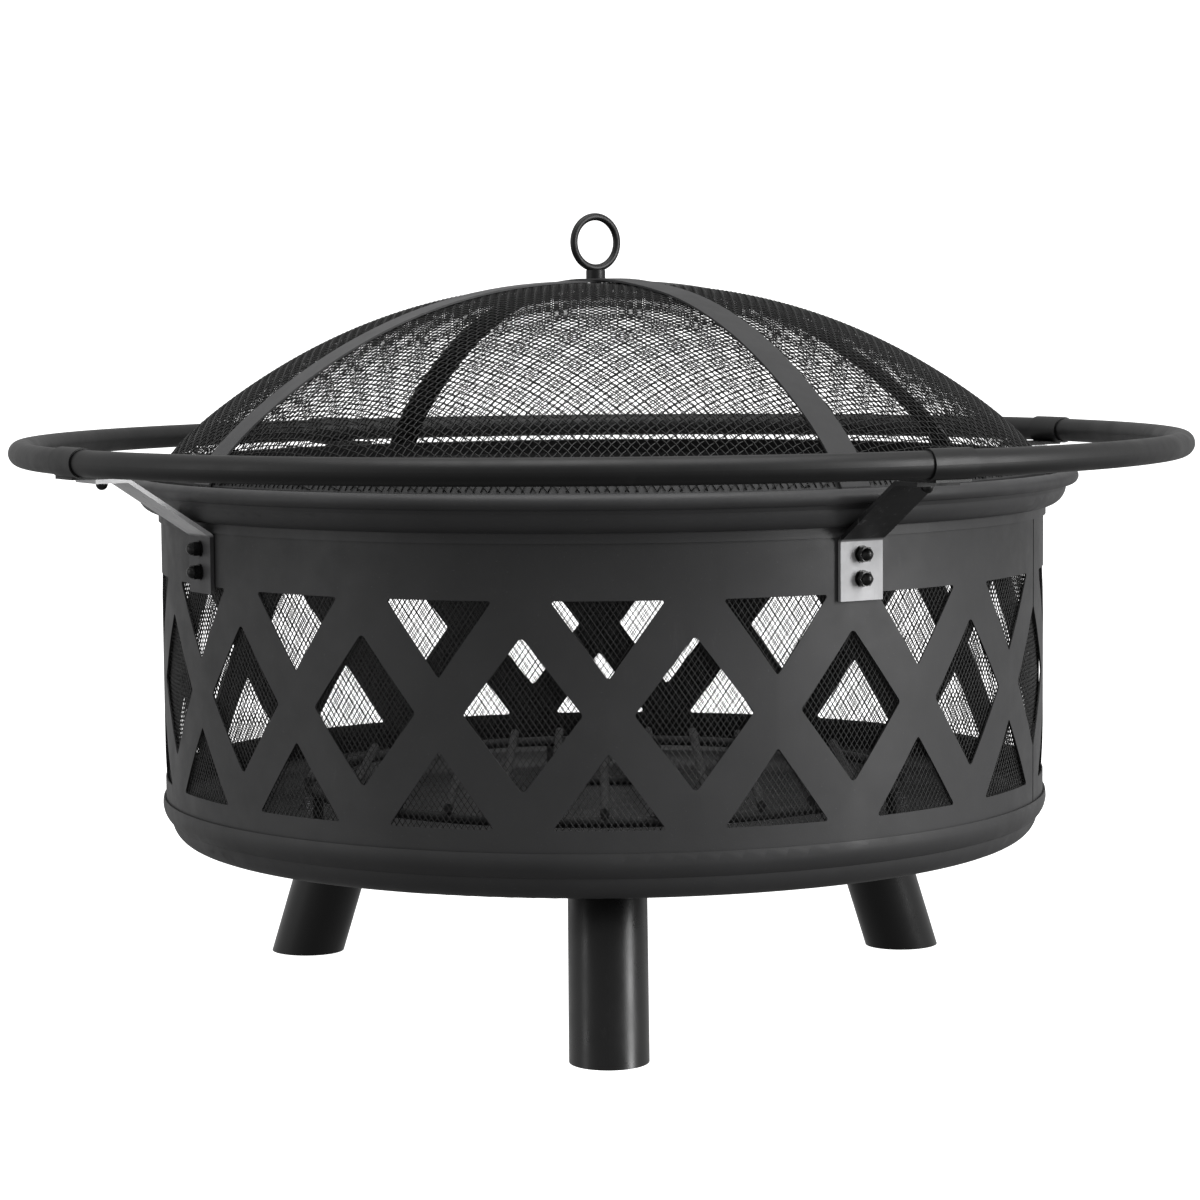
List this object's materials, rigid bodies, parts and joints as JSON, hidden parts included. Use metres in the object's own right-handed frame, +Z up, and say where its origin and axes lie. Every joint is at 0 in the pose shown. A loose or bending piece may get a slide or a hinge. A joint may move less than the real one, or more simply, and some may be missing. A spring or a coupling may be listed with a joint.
{
  "type": "fire pit with grate",
  "caption": "Round steel fire pit on splayed legs with a diamond-lattice wall lined with mesh, a lift-off mesh dome with a lifting ring, a log grate and an outer tube ring on brackets.",
  "frame": {"origin": "on the floor, under the pit's axis: the bottom centre of the whole object", "axes": "+Z up along the pit's axis, -Y towards the front, +X to the right seen from the front"},
  "size_m": [0.9144, 0.9143, 0.6046],
  "materials": {
    "front_panel": "satin black painted sheet",
    "back_panel": "satin black painted sheet",
    "mesh_liner": "black painted woven wire",
    "top_rim": "satin black painted sheet",
    "base_pan": "satin black painted sheet",
    "leg_front": "semi-gloss black paint",
    "leg_right": "semi-gloss black paint",
    "leg_left": "semi-gloss black paint",
    "leg_bolts": "zinc plated",
    "leg_nuts": "zinc plated",
    "bracket_front_left": "painted strap, worn grey",
    "bracket_front_right": "painted strap, worn grey",
    "bracket_back_right": "painted strap, worn grey",
    "bracket_back_left": "painted strap, worn grey",
    "bracket_bolts": "blackened",
    "bracket_washers": "blackened",
    "bracket_nuts": "blackened, glossy",
    "ring_tube_front": "satin black painted tube",
    "ring_tube_right": "satin black painted tube",
    "ring_tube_back": "satin black painted tube",
    "ring_tube_left": "satin black painted tube",
    "ring_screws": "blackened",
    "grate_hoop": "heat-proof black paint",
    "grate_bars": "heat-proof black paint",
    "grate_feet": "heat-proof black paint",
    "dome_mesh": "black painted woven wire",
    "dome_hoop": "satin black painted band",
    "dome_strap_a": "satin grey-black strap",
    "dome_strap_b": "satin grey-black strap",
    "dome_rivets": "blackened",
    "handle_ring": "black paint",
    "handle_washer": "zinc plated",
    "handle_nut": "zinc plated"
  },
  "bodies": {
    "pit": {"front_panel": "front_panel", "back_panel": "back_panel", "mesh_liner": "mesh_liner", "top_rim": "top_rim", "base_pan": "base_pan", "leg_front": "leg_front", "leg_right": "leg_right", "leg_left": "leg_left", "leg_bolts": "leg_bolts", "leg_nuts": "leg_nuts", "bracket_front_left": "bracket_front_left", "bracket_front_right": "bracket_front_right", "bracket_back_right": "bracket_back_right", "bracket_back_left": "bracket_back_left", "bracket_bolts": "bracket_bolts", "bracket_washers": "bracket_washers", "bracket_nuts": "bracket_nuts", "ring_tube_front": "ring_tube_front", "ring_tube_right": "ring_tube_right", "ring_tube_back": "ring_tube_back", "ring_tube_left": "ring_tube_left", "ring_screws": "ring_screws"},
    "dome": {"dome_mesh": "dome_mesh", "dome_hoop": "dome_hoop", "dome_strap_a": "dome_strap_a", "dome_strap_b": "dome_strap_b", "dome_rivets": "dome_rivets", "handle_ring": "handle_ring", "handle_washer": "handle_washer", "handle_nut": "handle_nut"},
    "grate": {"grate_hoop": "grate_hoop", "grate_bars": "grate_bars", "grate_feet": "grate_feet"}
  },
  "joints": [
    {"name": "dome_lift", "type": "slide", "parent": "pit", "child": "dome", "axis": [0, 0, 1], "range_m": [0, 0.35]},
    {"name": "grate_lift", "type": "slide", "parent": "pit", "child": "grate", "axis": [0, 0, 1], "range_m": [0, 0.29]}
  ]
}
